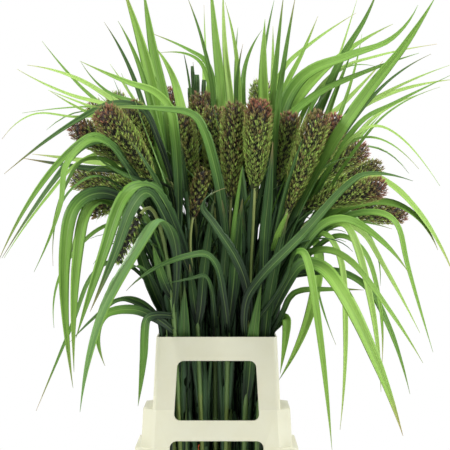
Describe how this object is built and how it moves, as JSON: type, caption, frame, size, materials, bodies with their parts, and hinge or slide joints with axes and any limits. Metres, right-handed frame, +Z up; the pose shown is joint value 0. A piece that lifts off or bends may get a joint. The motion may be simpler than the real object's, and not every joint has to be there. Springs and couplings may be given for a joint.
{
  "type": "potted foxtail millet",
  "caption": "Cut foxtail millet in tied bunches, with strap leaves and drooping seed heads, standing in water in a cream plastic flower holder.",
  "frame": {"origin": "middle of the bucket's flat underside, where it stands", "axes": "+Z up along the stems, -Y towards the front of the holder, +X to its right"},
  "size_m": [0.7316, 0.4934, 1.043],
  "materials": {
    "holder_plastic": "satin moulded plastic",
    "elastic": "matt elastic band",
    "leaf": "satin, finely ribbed leaf",
    "seed_head": "matt, bristly",
    "water": "clear water"
  },
  "bodies": {
    "root": {"collar": "holder_plastic", "bucket": "holder_plastic", "tie_left": "elastic", "tie_middle": "elastic", "tie_right": "elastic", "stem_left_1": "leaf", "stem_left_2": "leaf", "stem_left_3": "leaf", "stem_left_4": "leaf", "stem_left_5": "leaf", "stem_left_6": "leaf", "stem_left_7": "leaf", "stem_left_8": "leaf", "stem_left_9": "leaf", "stem_middle_1": "leaf", "stem_middle_2": "leaf", "stem_middle_3": "leaf", "stem_middle_4": "leaf", "stem_middle_5": "leaf", "stem_middle_6": "leaf", "stem_middle_7": "leaf", "stem_middle_8": "leaf", "stem_middle_9": "leaf", "stem_right_1": "leaf", "stem_right_2": "leaf", "stem_right_3": "leaf", "stem_right_4": "leaf", "stem_right_5": "leaf", "stem_right_6": "leaf", "stem_right_7": "leaf", "stem_right_8": "leaf", "stem_right_9": "leaf", "head_left_1": "seed_head", "head_left_2": "seed_head", "head_left_3": "seed_head", "head_left_4": "seed_head", "head_left_5": "seed_head", "head_left_6": "seed_head", "head_left_7": "seed_head", "head_left_8": "seed_head", "head_left_9": "seed_head", "head_middle_1": "seed_head", "head_middle_2": "seed_head", "head_middle_3": "seed_head", "head_middle_4": "seed_head", "head_middle_5": "seed_head", "head_middle_6": "seed_head", "head_middle_7": "seed_head", "head_middle_8": "seed_head", "head_middle_9": "seed_head", "head_right_1": "seed_head", "head_right_2": "seed_head", "head_right_3": "seed_head", "head_right_4": "seed_head", "head_right_5": "seed_head", "head_right_6": "seed_head", "head_right_7": "seed_head", "head_right_8": "seed_head", "head_right_9": "seed_head", "water": "water"}
  },
  "joints": []
}
